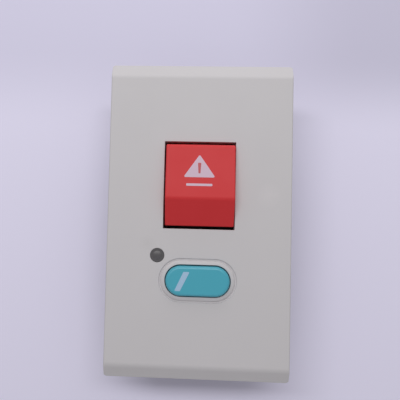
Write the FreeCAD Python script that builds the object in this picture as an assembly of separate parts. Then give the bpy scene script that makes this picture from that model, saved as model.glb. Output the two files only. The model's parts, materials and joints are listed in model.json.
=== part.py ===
import FreeCAD, Part
import math
import os
from FreeCAD import Vector

# Wall call station with a hinged push paddle and a sliding cancel button, in millimetres.
# The wall is the plane y = 0 and the front faces -Y, with +X to the right and +Z up.
# The origin lies on the wall, half-way between the two wall screws.
# Heights named "out" are measured from the wall towards the room, so y = -out.

# Cover plate
plate_width = 70.0
plate_height = 120.0
plate_depth = 9.0
plate_wall = 2.2
side_draft = 0.25
bevel_run = 5.1
bevel_drop = 2.8
top_break_radius = 3.0
bottom_break_radius = 5.0
side_edge_radius = 0.6
plate_corner_radius = 1.4
pry_notch_width = 9.5
pry_notch_depth = 1.6

# Opening for the paddle and the skirt behind it
opening_width = 27.0
opening_height = 33.2
opening_to_tub = 2.25
skirt_wall = 1.5
skirt_length = 2.6

# Push paddle
paddle_side_gap = 0.5
paddle_side_shift = 0.2
paddle_top_gap = 1.2
paddle_bottom_gap = 1.15
paddle_wall = 1.8
paddle_top_rise = 2.0
paddle_ridge_rise = 4.4
paddle_bottom_drop = 0.3
paddle_ridge_height = 10.3
paddle_skirt_out = 1.0
paddle_top_radius = 1.8
paddle_ridge_radius = 3.0
paddle_bottom_radius = 0.6
paddle_side_break = 0.3
paddle_travel_deg = 6.0

# Paddle hinge
pin_radius = 0.75
pin_running_clearance = 0.05
pin_end_gap = 0.1
pin_height = 4.2
pin_out = 2.5
ear_radius = 2.3
lug_radius = 1.9
lug_width = 1.8
lug_side_gap = 0.4

# Paddle stop hooks and rubber end stop
hook_width = 4.0
hook_spacing = 16.0
hook_depth = 1.85
hook_reach = 2.5
stop_gap = 0.15
bumper_width = 9.0
bumper_thickness = 3.4
bumper_gap = 0.1

# Strip spring under the paddle and the keepers that hold its foot
strip_thickness = 0.4
strip_width = 6.0
strip_setback = 3.55
strip_foot = 4.3
strip_bend_radius = 1.5
strip_turn_deg = 115.0
strip_arm = 8.0
strip_curl_radius = 1.2
strip_curl_deg = 85.0
strip_contact_gap = 0.1
strip_pad_depth = 3.0
keeper_gap = 0.15
keeper_wall = 1.0
keeper_grip = 0.8
keeper_depth = 0.8
keeper_length = 2.5

# Cancel button
button_z = -22.6
button_between = 12.8
button_radius = 5.6
button_gap = 0.4
button_rise = 2.4
button_edge_radius = 1.2
button_edge_bands = 3
button_front_wall = 1.8
button_side_wall = 1.4
button_lip_width = 0.9
button_lip_depth = 1.0
button_lip_gap = 0.2
button_travel = 1.5
stem_radius = 2.5
blade_width = 3.0
blade_thickness = 1.6
blade_spacing = 16.0
blade_tip_out = 0.0
blade_end_gap = 1.5
guide_clearance = 0.1

# Collar round the button
collar_band = 1.25
collar_rise = 0.4
collar_lip = 0.25
groove_width = 0.75
groove_depth = 0.5

# Coil spring round the button's stem
coil_radius = 3.3
coil_wire = 0.5
coil_turns = 2.5

# Indicator window, lamp and spacer
window_x = -15.4
window_z = -13.4
window_radius = 2.65
window_gap = 0.05
window_dome = 0.25
window_flange_radius = 3.5
window_flange_depth = 1.0
window_seat_wall = 1.0
lamp_radius = 1.5
lamp_rim_radius = 1.9
lamp_rim_height = 1.0
lamp_height = 4.4
lamp_gap = 0.3
lamp_lead_side = 0.5
lamp_lead_pitch = 1.8
lamp_lead_gap = 0.15
spacer_radius = 2.4
spacer_gap = 0.3

# Chassis
flange_side_gap = 0.8
flange_end_gap = 1.8
flange_lift = 1.2
flange_thickness = 2.0
flange_corner_radius = 2.0
rail_width = 2.0
rail_inset = 1.0
rail_length = 100.0
wall_pad_width = 16.0
wall_pad_height = 12.0
tub_width = 48.0
tub_height = 68.0
tub_depth = 5.0
tub_wall = 1.8
tub_corner_radius = 2.0
floor_thickness = 2.0
stop_bar_clearance = 0.35
tower_wall = 1.7
tower_height = 6.5
socket_wall = 1.1
socket_height = 6.6
corner_boss_side = 6.4
corner_boss_height = 4.5
standoff_side = 4.0
standoff_height = 1.5
standoff_x = 15.0
standoff_z = 22.0

# Wall screw slots
wall_screw_pitch = 83.3
wall_screw_radius = 2.25
wall_slot_length = 8.0

# Snap hooks and support pillars of the cover
snap_width = 6.0
snap_spacing = 44.0
snap_leg = 1.5
snap_nose = 0.9
snap_catch = 0.6
snap_gap = 0.3
snap_seat_gap = 0.15
snap_notch_depth = 1.6
support_side = 2.4
support_gap = 0.1
support_x = 28.0
support_near_z = 8.0
support_far_z = 46.0

# Push switches
switch_side = 8.0
switch_height = 4.0
switch_base = 0.5
plunger_radius = 1.5
plunger_clearance = 0.1
plunger_out = -1.0
plunger_length = 5.2
contact_gap = 0.15
switch_window_gap = 0.3
call_switch_rise = 0.2
actuator_width = 6.0
actuator_wall = 1.4
actuator_relief = 0.8

# Circuit board, its clips and what it carries
board_side_gap = 2.2
board_end_gap = 1.2
board_thickness = 1.6
board_corner_gap = 0.5
clip_z = 5.0
clip_width = 6.0
clip_leg = 1.4
clip_nose = 1.0
clip_catch = 0.8
clip_gap = 0.2
clip_seat_gap = 0.1
chip_length = 10.0
chip_width = 4.0
chip_height = 1.5
chip_foot = 0.1
chip_side_step = 4.0
chip_lead_count = 8
chip_lead_pitch = 1.27
chip_lead_width = 0.4
chip_lead_height = 0.6
chip_lead_reach = 0.9
capacitor_radius = 3.15
capacitor_height = 8.5
capacitor_inset_x = 8.0
capacitor_inset_z = 19.0
resistor_length = 3.2
resistor_width = 1.6
resistor_height = 0.6
resistor_count = 4
resistor_pitch = 3.0
resistor_inset_x = 8.0
resistor_inset_z = 9.0

# Rear housing and its countersunk screws
housing_depth = 17.0
housing_wall = 1.8
housing_screw_head_radius = 2.8
housing_screw_head_height = 1.6
housing_screw_radius = 1.25
housing_screw_length = 21.5
housing_screw_sink = 0.2

# Terminal strip on the back
terminal_count = 3
terminal_pitch = 7.6
terminal_barrier = 1.2
terminal_height = 11.0
terminal_z = -16.0
terminal_recess = 1.4
terminal_barrier_height = 3.2
terminal_plate_thickness = 0.8
terminal_plate_gap = 0.2
terminal_window_gap = 0.4
terminal_screw_radius = 1.2
terminal_screw_head_radius = 2.5
terminal_screw_head_height = 1.7
terminal_screw_length = 5.5

# Recess and holes of the small screws
recess_length = 3.2
recess_width = 0.7
recess_depth = 0.9
pilot_clearance = 0.03
screw_tip_room = 0.3

# Levels measured from the wall towards the room
skin_back = plate_depth - plate_wall
flange_front = flange_lift + flange_thickness
floor_front = -tub_depth
floor_back = floor_front - floor_thickness
board_front = floor_back - standoff_height
board_back = board_front - board_thickness
housing_back = floor_back - housing_depth
housing_screw_face = housing_back + housing_screw_sink
switch_top = board_front + switch_height
tower_top = floor_front + tower_height
button_front = plate_depth + button_rise
button_ceiling = button_front - button_front_wall
button_skirt_out = skin_back - button_lip_gap - button_lip_depth
lamp_rim_back = skin_back - window_flange_depth - lamp_gap - lamp_height
terminal_seat = housing_back + terminal_recess
terminal_plate_back = terminal_seat - terminal_plate_thickness

# Sizes and places that pieces share
flange_width = plate_width - 2 * (plate_wall + flange_side_gap)
flange_height = plate_height - 2 * (plate_wall + flange_end_gap)
tub_inner_width = tub_width - 2 * tub_wall
tub_inner_height = tub_height - 2 * tub_wall
opening_top = tub_inner_height / 2 - opening_to_tub
opening_bottom = opening_top - opening_height
opening_centre_z = (opening_top + opening_bottom) / 2
paddle_half_width = opening_width / 2 - paddle_side_gap
paddle_top = opening_top - paddle_top_gap
paddle_bottom = opening_bottom + paddle_bottom_gap
paddle_ridge_z = paddle_bottom + paddle_ridge_height
pin_z = paddle_bottom + pin_height
call_switch_z = opening_centre_z + call_switch_rise
travel = math.radians(paddle_travel_deg)
hole_radius = button_radius + button_gap
tower_radius = stem_radius + guide_clearance + tower_wall
switch_window = switch_side + 2 * switch_window_gap
tower_roof = switch_top + 2 * switch_window_gap
corner_boss_x = (tub_inner_width - corner_boss_side) / 2
corner_boss_z = (tub_inner_height - corner_boss_side) / 2
snap_edge_z = flange_height / 2 - snap_notch_depth
strip_foot_z = paddle_top - strip_setback
terminal_width = terminal_count * terminal_pitch + terminal_barrier
terminal_pilot_radius = terminal_screw_radius + pilot_clearance
board_width = tub_width - 2 * (housing_wall + board_side_gap)
board_height = tub_height - 2 * (housing_wall + board_end_gap)
capacitor_x = board_width / 2 - capacitor_inset_x
capacitor_z = board_height / 2 - capacitor_inset_z
resistor_x = resistor_inset_x - board_width / 2
resistor_z = board_height / 2 - resistor_inset_z
chip_x = resistor_x + chip_side_step
chip_z = resistor_z - resistor_count * resistor_pitch
margin = 1.0
tiny = 0.01


def at(x, out, z):
    """Turns a distance from the wall into a point."""
    return Vector(x, -out, z)


def block(x0, x1, out0, out1, z0, z1):
    return Part.makeBox(x1 - x0, out1 - out0, z1 - z0, at(x0, out1, z0))


def centred_block(width, height, out0, out1, x=0.0, z=0.0, radius=0.0):
    """A block round (x, z) whose four corner edges are rounded."""
    body = block(x - width / 2, x + width / 2, out0, out1, z - height / 2, z + height / 2)
    if radius > 0:
        corners = [e for e in body.Edges if e.BoundBox.XLength < tiny and e.BoundBox.ZLength < tiny]
        body = body.makeFillet(radius, corners)
    return body


def rod(radius, out0, out1, x=0.0, z=0.0):
    return Part.makeCylinder(radius, out1 - out0, at(x, out0, z), Vector(0, -1, 0))


def cross_rod(radius, x0, x1, out, z):
    """A round bar that runs along X."""
    return Part.makeCylinder(radius, x1 - x0, at(x0, out, z), Vector(1, 0, 0))


def stadium_wire(between, radius, out, z, upright=False):
    """Two half circles joined by straights; their centres are a distance apart, along X or along Z."""
    half = between / 2

    def spot(along, across):
        return at(across, out, z + along) if upright else at(along, out, z + across)

    top_start, top_end = spot(-half, radius), spot(half, radius)
    low_start, low_end = spot(half, -radius), spot(-half, -radius)
    edges = [
        Part.LineSegment(top_start, top_end).toShape(),
        Part.Arc(top_end, spot(half + radius, 0), low_start).toShape(),
        Part.LineSegment(low_start, low_end).toShape(),
        Part.Arc(low_end, spot(-half - radius, 0), top_start).toShape(),
    ]
    return Part.Wire(edges)


def stadium(between, radius, out0, out1, z, upright=False):
    face = Part.Face(stadium_wire(between, radius, out0, z, upright))
    return face.extrude(Vector(0, out0 - out1, 0))


def side_prism(profile, x0, x1):
    """Extrudes a closed outline of (out, z) corners along X."""
    corners = [at(x0, out, z) for out, z in profile]
    face = Part.Face(Part.makePolygon(corners + corners[:1]))
    return face.extrude(Vector(x1 - x0, 0, 0))


def plan_prism(profile, z0, z1):
    """Extrudes a closed outline of (x, out) corners along Z."""
    corners = [at(x, out, z0) for x, out in profile]
    face = Part.Face(Part.makePolygon(corners + corners[:1]))
    return face.extrude(Vector(0, 0, z1 - z0))


def round_line(body, spot, along, radius):
    """Rounds the straight edge that runs through a point in the direction given."""
    for edge in body.Edges:
        first, last = edge.Vertexes[0].Point, edge.Vertexes[-1].Point
        run = last.sub(first)
        if run.Length < margin or abs(run.normalize().dot(along)) < 1 - tiny:
            continue
        if first.distanceToLine(spot, along) < tiny:
            return body.makeFillet(radius, [edge])
    return body


def inset_profile(profile, walls):
    """Moves each side of an outline of (out, z) corners inwards by its own wall."""
    count = len(profile)
    sides = []
    for i in range(count):
        (a_out, a_z), (b_out, b_z) = profile[i], profile[(i + 1) % count]
        length = math.hypot(b_out - a_out, b_z - a_z)
        normal = ((b_z - a_z) / length, -(b_out - a_out) / length)
        reach = normal[0] * a_out + normal[1] * a_z - walls[i]
        sides.append((normal, reach))
    inner = []
    for i in range(count):
        (n0, r0), (n1, r1) = sides[i - 1], sides[i]
        det = n0[0] * n1[1] - n0[1] * n1[0]
        inner.append(((r0 * n1[1] - r1 * n0[1]) / det, (n0[0] * r1 - n1[0] * r0) / det))
    return inner


def joined(first, *others):
    return first.multiFuse(list(others)).removeSplitter()


def cross_recess(body, x, z, face):
    """Cuts a cross for the driver in a screw head that faces the wall."""
    long_half, short_half = recess_length / 2, recess_width / 2
    for half_x, half_z in ((long_half, short_half), (short_half, long_half)):
        arm = block(x - half_x, x + half_x, face - margin, face + recess_depth, z - half_z, z + half_z)
        body = body.cut(arm)
    return body


def flat_screw(x, z, face, head_radius, head_height, shank_radius, length):
    """A countersunk screw whose head faces the wall; its length runs from the head's face."""
    head = Part.makeCone(head_radius, shank_radius, head_height, at(x, face, z), Vector(0, -1, 0))
    shank = rod(shank_radius, face + head_height, face + length, x, z)
    return cross_recess(head.fuse(shank), x, z, face)


def countersink(x, z, face, sink, head_radius, head_height, shank_radius):
    """The seat of a countersunk head that lies a little below the surface."""
    slope = (head_radius - shank_radius) / head_height
    deep = head_height + sink
    return Part.makeCone(shank_radius + deep * slope, shank_radius, deep, at(x, face, z), Vector(0, -1, 0))


def pan_screw(x, z, seat, head_radius, head_height, shank_radius, length):
    """A flat-topped screw whose head faces the wall; its length runs from the seat."""
    face = seat - head_height
    head = rod(head_radius, face, seat, x, z)
    return cross_recess(head.fuse(rod(shank_radius, seat, seat + length, x, z)), x, z, face)


def coil(radius, wire, turns, out0, out1, x, z):
    """A compression spring of square wire along the out direction."""
    height = out1 - out0 - wire
    path = Part.makeHelix(height / turns, height, radius)
    half = wire / 2
    corners = [Vector(radius + a * half, 0, b * half) for a, b in ((-1, -1), (1, -1), (1, 1), (-1, 1))]
    section = Part.makePolygon(corners + corners[:1])
    body = Part.Wire(path.Edges).makePipeShell([section], True, True)
    body.rotate(Vector(0, 0, 0), Vector(1, 0, 0), 90)
    body.translate(at(x, out0 + half, z))
    return body


def snap_places():
    for x in (-snap_spacing / 2, snap_spacing / 2):
        for side in (-1, 1):
            yield x, side


def housing_screw_places():
    """Two opposite corners of the tub."""
    for side in (-1, 1):
        yield side * corner_boss_x, -side * corner_boss_z


def blade_places():
    return (-blade_spacing / 2, blade_spacing / 2)


def terminal_places():
    for i in range(terminal_count):
        yield (i - (terminal_count - 1) / 2) * terminal_pitch


def plate_form(inset):
    """The cover's outer form with inset 0, or the form of its hollow with inset set to the wall."""
    slope = bevel_drop / bevel_run
    slant = math.hypot(1, slope)
    rim = plate_depth - bevel_drop
    front = plate_depth - inset
    rear = -margin if inset else 0.0
    end_z = plate_height / 2 - inset
    end_out = rim + inset * slope - inset * slant
    break_z = plate_height / 2 - (front - rim + inset * slant) / slope
    upright = [(rear, -end_z), (end_out, -end_z), (front, -break_z),
               (front, break_z), (end_out, end_z), (rear, end_z)]
    slab = side_prism(upright, -plate_width, plate_width)
    rear_half, front_half = plate_width / 2 - inset, plate_width / 2 - side_draft - inset
    level = [(-rear_half, rear), (rear_half, rear), (front_half, front), (-front_half, front)]
    sides = plan_prism(level, -plate_height, plate_height)
    if inset:
        return slab.common(sides)
    slab = round_line(slab, at(0, front, break_z), Vector(1, 0, 0), top_break_radius)
    slab = round_line(slab, at(0, front, -break_z), Vector(1, 0, 0), bottom_break_radius)
    for side in (-1, 1):
        sides = round_line(sides, at(side * front_half, front, 0), Vector(0, 0, 1), side_edge_radius)
    outline = centred_block(plate_width, plate_height, rear, front + margin, radius=plate_corner_radius)
    return slab.common(sides).common(outline)


def collar():
    """The raised band round the button hole, which slopes up to a narrow lip."""
    foot = stadium_wire(button_between, hole_radius + collar_lip + collar_band, plate_depth, button_z)
    lip = stadium_wire(button_between, hole_radius + collar_lip, plate_depth + collar_rise, button_z)
    band = Part.makeLoft([foot, lip], True, True)
    base = stadium(button_between, hole_radius + collar_lip + collar_band, skin_back, plate_depth, button_z)
    return base.fuse(band)


def collar_groove():
    inner = hole_radius + collar_lip + collar_band
    above = plate_depth + margin
    ring = stadium(button_between, inner + groove_width, plate_depth - groove_depth, above, button_z)
    return ring.cut(stadium(button_between, inner, 0, above + margin, button_z))


def snap_hook(x, side):
    """A leg behind the cover whose nose catches under the chassis flange."""
    half = snap_width / 2
    inner = snap_edge_z + snap_gap
    leg_z = sorted((side * inner, side * (inner + snap_leg)))
    nose_back = flange_lift - snap_seat_gap - snap_nose
    leg = block(x - half, x + half, nose_back, plate_depth, *leg_z)
    nose_z = sorted((side * (snap_edge_z - snap_catch), side * (inner + snap_leg)))
    nose = block(x - half, x + half, nose_back, nose_back + snap_nose, *nose_z)
    return leg.common(plate_form(0)).fuse(nose)


def support_pillars():
    for x in (-support_x, support_x):
        for z in (-support_far_z, -support_near_z, support_near_z, support_far_z):
            yield centred_block(support_side, support_side, flange_front + support_gap, skin_back, x, z)


def make_face_plate():
    body = plate_form(0).cut(plate_form(plate_wall))
    skirt = centred_block(opening_width + 2 * skirt_wall, opening_height + 2 * skirt_wall,
                          skin_back - skirt_length, skin_back, z=opening_centre_z)
    seat = rod(window_flange_radius + window_gap + window_seat_wall,
               skin_back - window_flange_depth, skin_back, window_x, window_z)
    additions = [skirt, seat, collar()] + list(support_pillars())
    additions += [snap_hook(x, side) for x, side in snap_places()]
    body = body.multiFuse(additions)
    half_notch, pry_notch_reach = pry_notch_width / 2, plate_wall + margin
    bottom = -plate_height / 2
    cuts = [
        collar_groove(),
        centred_block(opening_width, opening_height, 0, plate_depth + margin, z=opening_centre_z),
        stadium(button_between, hole_radius, 0, plate_depth + 2 * margin, button_z),
        rod(window_radius + window_gap, 0, plate_depth + margin, window_x, window_z),
        rod(window_flange_radius + window_gap, 0, skin_back, window_x, window_z),
        block(-half_notch, half_notch, -margin, pry_notch_depth, bottom - margin, bottom + pry_notch_reach),
    ]
    for tool in cuts:
        body = body.cut(tool)
    return body.removeSplitter()


def make_led_window():
    """Smoked window with a low dome and a flange behind the cover's skin."""
    dome_radius = (window_radius ** 2 + window_dome ** 2) / (2 * window_dome)
    ball = Part.makeSphere(dome_radius, at(window_x, plate_depth + window_dome - dome_radius, window_z))
    stem = rod(window_radius, skin_back, plate_depth + margin, window_x, window_z).common(ball)
    flange = rod(window_flange_radius, skin_back - window_flange_depth, skin_back, window_x, window_z)
    return joined(stem, flange)


def paddle_outline():
    """The paddle from the side: a skirt, a steep lower face, the ridge and a long shallow upper face."""
    return [
        (paddle_skirt_out, paddle_top),
        (paddle_skirt_out, paddle_bottom),
        (plate_depth - paddle_bottom_drop, paddle_bottom),
        (plate_depth + paddle_ridge_rise, paddle_ridge_z),
        (plate_depth + paddle_top_rise, paddle_top),
    ]


def paddle_shell():
    """The paddle's outer form with its edges broken, and the form of its hollow."""
    outline = paddle_outline()
    body = side_prism(outline, -paddle_half_width, paddle_half_width)
    for corner, radius in ((4, paddle_top_radius), (3, paddle_ridge_radius), (2, paddle_bottom_radius)):
        body = round_line(body, at(0, *outline[corner]), Vector(1, 0, 0), radius)
    rims = []
    for edge in body.Edges:
        box = edge.BoundBox
        on_side = box.XLength < tiny and abs(abs(box.XMin) - paddle_half_width) < tiny
        if on_side and -box.YMax > plate_depth - paddle_bottom_drop - paddle_bottom_radius - margin:
            rims.append(edge)
    body = body.makeChamfer(paddle_side_break, rims)
    walls = [-2 * margin] + 4 * [paddle_wall]
    inner_half = paddle_half_width - paddle_wall
    return body, side_prism(inset_profile(outline, walls), -inner_half, inner_half)


def paddle_inner_ribs():
    """The cross that presses the switch and the pad that the strip spring bears on."""
    tip = plunger_out + contact_gap
    front = plate_depth + paddle_ridge_rise
    crest_out, crest_z = strip_crest()
    yield centred_block(actuator_width, actuator_wall, tip, front, z=call_switch_z)
    yield centred_block(actuator_wall, actuator_width, tip + actuator_relief, front, z=call_switch_z)
    yield centred_block(strip_width, strip_pad_depth, crest_out + strip_contact_gap, front, z=crest_z)


def paddle_hooks():
    """Two hooks that catch under the chassis bar and stop the paddle at rest."""
    front = flange_lift - stop_gap
    rear = front - hook_depth
    inner_z = paddle_top - paddle_wall
    for x in (-hook_spacing / 2, hook_spacing / 2):
        x0, x1 = x - hook_width / 2, x + hook_width / 2
        leg = block(x0, x1, rear, paddle_skirt_out + paddle_wall, inner_z, paddle_top)
        yield leg.fuse(block(x0, x1, rear, front, inner_z, paddle_top + hook_reach))


def make_call_paddle():
    outer, hollow = paddle_shell()
    room = block(-actuator_width, actuator_width, plunger_out - margin, paddle_skirt_out + margin,
                 paddle_bottom, paddle_top)
    limits = outer.fuse(room)
    additions = [rib.common(limits) for rib in paddle_inner_ribs()]
    additions += list(paddle_hooks())
    for side in (-1, 1):
        x0, x1 = sorted((side * paddle_half_width, side * (paddle_half_width - paddle_wall)))
        additions.append(cross_rod(ear_radius, x0, x1, pin_out, pin_z))
    body = outer.cut(hollow).multiFuse(additions)
    reach = paddle_half_width + margin
    body = body.cut(cross_rod(pin_radius, -reach, reach, pin_out, pin_z)).removeSplitter()
    body.translate(at(paddle_side_shift, 0, 0))
    return body


def make_paddle_pin():
    """The hinge pin, which sits to one side with the paddle."""
    half = paddle_half_width - pin_end_gap
    return cross_rod(pin_radius, paddle_side_shift - half, paddle_side_shift + half, pin_out, pin_z)


def strip_arc(centre, radius, start, end):
    """An arc of the strip's middle line; angles are turns in degrees from the foot's direction."""
    points = []
    for turn in (start, (start + end) / 2, end):
        angle = math.radians(turn)
        points.append((centre[0] - radius * math.cos(angle), centre[1] - radius * math.sin(angle)))
    return points


def strip_stations():
    """The strip's middle line as (out, z) points: foot, bend, arm and curled tip."""
    level = floor_front + strip_thickness / 2
    foot_end = strip_foot_z - strip_foot
    bend = strip_arc((level + strip_bend_radius, foot_end), strip_bend_radius, 0, strip_turn_deg)
    turn = math.radians(strip_turn_deg)
    top = (bend[2][0] + strip_arm * math.sin(turn), bend[2][1] - strip_arm * math.cos(turn))
    centre = (top[0] + strip_curl_radius * math.cos(turn), top[1] + strip_curl_radius * math.sin(turn))
    curl = strip_arc(centre, strip_curl_radius, strip_turn_deg, strip_turn_deg + strip_curl_deg)
    return (level, strip_foot_z), bend, curl, centre


def strip_crest():
    """The strip's highest level and the height z where it lies."""
    centre = strip_stations()[3]
    return centre[0] + strip_curl_radius + strip_thickness / 2, centre[1]


def make_paddle_spring():
    """A strip of spring steel: a flat foot, a bend, an arm and a curled tip under the paddle."""
    start, bend, curl, _ = strip_stations()
    spots = [[at(0, *p) for p in group] for group in ([start], bend, curl)]
    edges = [
        Part.LineSegment(spots[0][0], spots[1][0]).toShape(),
        Part.Arc(*spots[1]).toShape(),
        Part.LineSegment(spots[1][2], spots[2][0]).toShape(),
        Part.Arc(*spots[2]).toShape(),
    ]
    half_x, half_out = strip_width / 2, strip_thickness / 2
    ends = ((-half_x, -half_out), (half_x, -half_out), (half_x, half_out), (-half_x, half_out))
    corners = [at(x, start[0] + out, start[1]) for x, out in ends]
    section = Part.makePolygon(corners + corners[:1])
    return Part.Wire(edges).makePipeShell([section], True, False)


def strip_keepers():
    """Two moulded claws on the tub's floor that hold the strip's foot by its edges."""
    z1 = strip_foot_z - keeper_gap
    z0 = z1 - keeper_length
    roof = floor_front + strip_thickness + keeper_gap
    for side in (-1, 1):
        near = side * (strip_width / 2 + keeper_gap)
        far = near + side * keeper_wall
        grip = near - side * keeper_grip
        leg = block(min(near, far), max(near, far), floor_front, roof + keeper_depth, z0, z1)
        yield leg.fuse(block(min(grip, far), max(grip, far), roof, roof + keeper_depth, z0, z1))


def make_paddle_bumper():
    """Rubber pad under the paddle's top wall; its height leaves the paddle its travel."""
    reach_z, reach_out = paddle_top - pin_z, paddle_skirt_out - pin_out
    landed = pin_out + reach_out * math.cos(travel) - reach_z * math.sin(travel)
    centre = paddle_top - paddle_wall / 2
    return centred_block(bumper_width, bumper_thickness, floor_front, landed - bumper_gap, z=centre)


def button_cap():
    """The cap's outer form; its rounded edge is drawn as narrow sloping bands."""
    edge = button_edge_radius
    straight = button_front - edge
    wires = []
    for i in range(button_edge_bands + 1):
        angle = math.pi / 2 * i / button_edge_bands
        radius = button_radius - edge * (1 - math.cos(angle))
        wires.append(stadium_wire(button_between, radius, straight + edge * math.sin(angle), button_z))
    rounded = Part.makeLoft(wires, True, True)
    return stadium(button_between, button_radius, button_skirt_out, straight, button_z).fuse(rounded)


def make_cancel_button():
    cap = button_cap()
    lip = stadium(button_between, hole_radius + button_lip_width, button_skirt_out,
                  button_skirt_out + button_lip_depth, button_z)
    hollow = stadium(button_between, button_radius - button_side_wall, 0, button_ceiling, button_z)
    root = button_ceiling + button_front_wall / 2
    stem = rod(stem_radius, plunger_out + contact_gap, root, 0, button_z)
    blades = [centred_block(blade_width, blade_thickness, blade_tip_out, root, x, button_z)
              for x in blade_places()]
    return joined(cap.fuse(lip).cut(hollow), stem, *blades)


def make_cancel_spring():
    return coil(coil_radius, coil_wire, coil_turns, tower_top, button_ceiling, 0, button_z)


def make_switch_body(z):
    body = centred_block(switch_side, switch_side, board_front, switch_top, z=z)
    bore = plunger_radius + plunger_clearance
    return body.cut(rod(bore, board_front + switch_base, switch_top + margin, 0, z))


def make_switch_plunger(z):
    return rod(plunger_radius, plunger_out - plunger_length, plunger_out, 0, z)


def guide_tower():
    """Foot over the cancel switch, tube for the button's stem and sockets for its two blades."""
    foot_side = switch_window + 2 * tower_wall
    foot = centred_block(foot_side, foot_side, floor_front, tower_roof + tower_wall, z=button_z)
    tower = foot.fuse(rod(tower_radius, floor_front, tower_top, 0, button_z))
    room = 2 * (guide_clearance + socket_wall)
    for x in blade_places():
        tower = tower.fuse(centred_block(blade_width + room, blade_thickness + room, floor_front,
                                         floor_front + socket_height, x, button_z))
    return tower


def guide_cuts():
    yield centred_block(switch_window, switch_window, floor_back - margin, tower_roof, z=button_z)
    yield rod(stem_radius + guide_clearance, floor_back, tower_top + margin, 0, button_z)
    room = 2 * guide_clearance
    socket_floor = blade_tip_out - button_travel - blade_end_gap
    for x in blade_places():
        yield centred_block(blade_width + room, blade_thickness + room, socket_floor,
                            floor_front + socket_height + margin, x, button_z)


def hinge_lugs():
    outer = paddle_half_width - paddle_wall - lug_side_gap
    for x0, x1 in ((-outer, -outer + lug_width), (outer - lug_width, outer)):
        post = block(x0, x1, floor_front, pin_out, pin_z - lug_radius, pin_z + lug_radius)
        yield post.fuse(cross_rod(lug_radius, x0, x1, pin_out, pin_z))


def wall_feet():
    """Rails along the flange and pads round the wall screws, which rest on the wall."""
    rail_x = flange_width / 2 - rail_inset - rail_width / 2
    for side in (-1, 1):
        yield centred_block(rail_width, rail_length, 0, flange_lift, x=side * rail_x)
        yield centred_block(wall_pad_width, wall_pad_height, 0, flange_lift, z=side * wall_screw_pitch / 2)


def corner_block(x, z, out0, out1):
    """A square pillar in a corner of the tub or the housing, let into both walls."""
    reach = corner_boss_side / 2
    side_x, side_z = math.copysign(1, x), math.copysign(1, z)
    x_pair = sorted((x - side_x * reach, x + side_x * (reach + tub_wall / 2)))
    z_pair = sorted((z - side_z * reach, z + side_z * (reach + tub_wall / 2)))
    return block(x_pair[0], x_pair[1], out0, out1, z_pair[0], z_pair[1])


def board_clips():
    """Two hooks behind the floor that hold the board against its standoffs."""
    nose_front = board_back - clip_seat_gap
    nose_back = nose_front - clip_nose
    z0, z1 = clip_z - clip_width / 2, clip_z + clip_width / 2
    for side in (-1, 1):
        near = side * (board_width / 2 + clip_gap)
        far = near + side * clip_leg
        grip = side * (board_width / 2 - clip_catch)
        leg = block(min(near, far), max(near, far), nose_back, floor_back, z0, z1)
        yield leg.fuse(block(min(grip, far), max(grip, far), nose_back, nose_front, z0, z1))


def chassis_body():
    flange = centred_block(flange_width, flange_height, flange_lift, flange_front,
                           radius=flange_corner_radius)
    tub = centred_block(tub_width, tub_height, floor_back, flange_front, radius=tub_corner_radius)
    body = flange.fuse(tub)
    body = body.cut(centred_block(tub_inner_width, tub_inner_height, floor_front, flange_front + margin))
    bar_bottom = opening_top + stop_bar_clearance
    half = tub_inner_width / 2
    additions = [block(-half, half, flange_lift, flange_front, bar_bottom, tub_height / 2), guide_tower()]
    additions += list(hinge_lugs()) + list(strip_keepers()) + list(wall_feet()) + list(board_clips())
    for x, z in housing_screw_places():
        additions.append(corner_block(x, z, floor_front, floor_front + corner_boss_height))
    for x in (-standoff_x, standoff_x):
        for z in (-standoff_z, standoff_z):
            additions.append(centred_block(standoff_side, standoff_side, board_front, floor_back, x, z))
    return body.multiFuse(additions)


def chassis_cuts():
    through = (floor_back - margin, floor_front + margin)
    yield centred_block(switch_window, switch_window, *through, z=call_switch_z)
    yield from guide_cuts()
    yield rod(spacer_radius + spacer_gap, *through, window_x, window_z)
    bore = pin_radius + pin_running_clearance
    yield cross_rod(bore, -paddle_half_width, paddle_half_width, pin_out, pin_z)
    pilot_end = housing_screw_face + housing_screw_length + screw_tip_room
    for x, z in housing_screw_places():
        yield rod(housing_screw_radius + pilot_clearance, floor_back - margin, pilot_end, x, z)
    between = wall_slot_length - 2 * wall_screw_radius
    for side in (-1, 1):
        place = side * wall_screw_pitch / 2
        yield stadium(between, wall_screw_radius, -margin, flange_front + margin, place, True)
    for x, side in snap_places():
        half = snap_width / 2 + snap_gap
        notch = sorted((side * snap_edge_z, side * (flange_height / 2 + margin)))
        yield block(x - half, x + half, 0, flange_front + margin, *notch)


def make_chassis():
    body = chassis_body()
    for tool in chassis_cuts():
        body = body.cut(tool)
    return body.removeSplitter()


def make_circuit_board():
    body = centred_block(board_width, board_height, board_back, board_front)
    for x, z in housing_screw_places():
        side = corner_boss_side + 2 * board_corner_gap
        reach = tub_wall + margin
        away_x, away_z = math.copysign(reach / 2, x), math.copysign(reach / 2, z)
        body = body.cut(centred_block(side + reach, side + reach, board_back - margin, board_front + margin,
                                      x + away_x, z + away_z))
    return body


def make_indicator_led():
    """Flat-topped lamp with a rim and two square leads that stand on the board."""
    rim = rod(lamp_rim_radius, lamp_rim_back, lamp_rim_back + lamp_rim_height, window_x, window_z)
    barrel = rod(lamp_radius, lamp_rim_back, lamp_rim_back + lamp_height, window_x, window_z)
    top = lamp_rim_back + lamp_rim_height / 2
    leads = [centred_block(lamp_lead_side, lamp_lead_side, board_front, top,
                           window_x + side * lamp_lead_pitch / 2, window_z) for side in (-1, 1)]
    return joined(rim, barrel, *leads)


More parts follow.
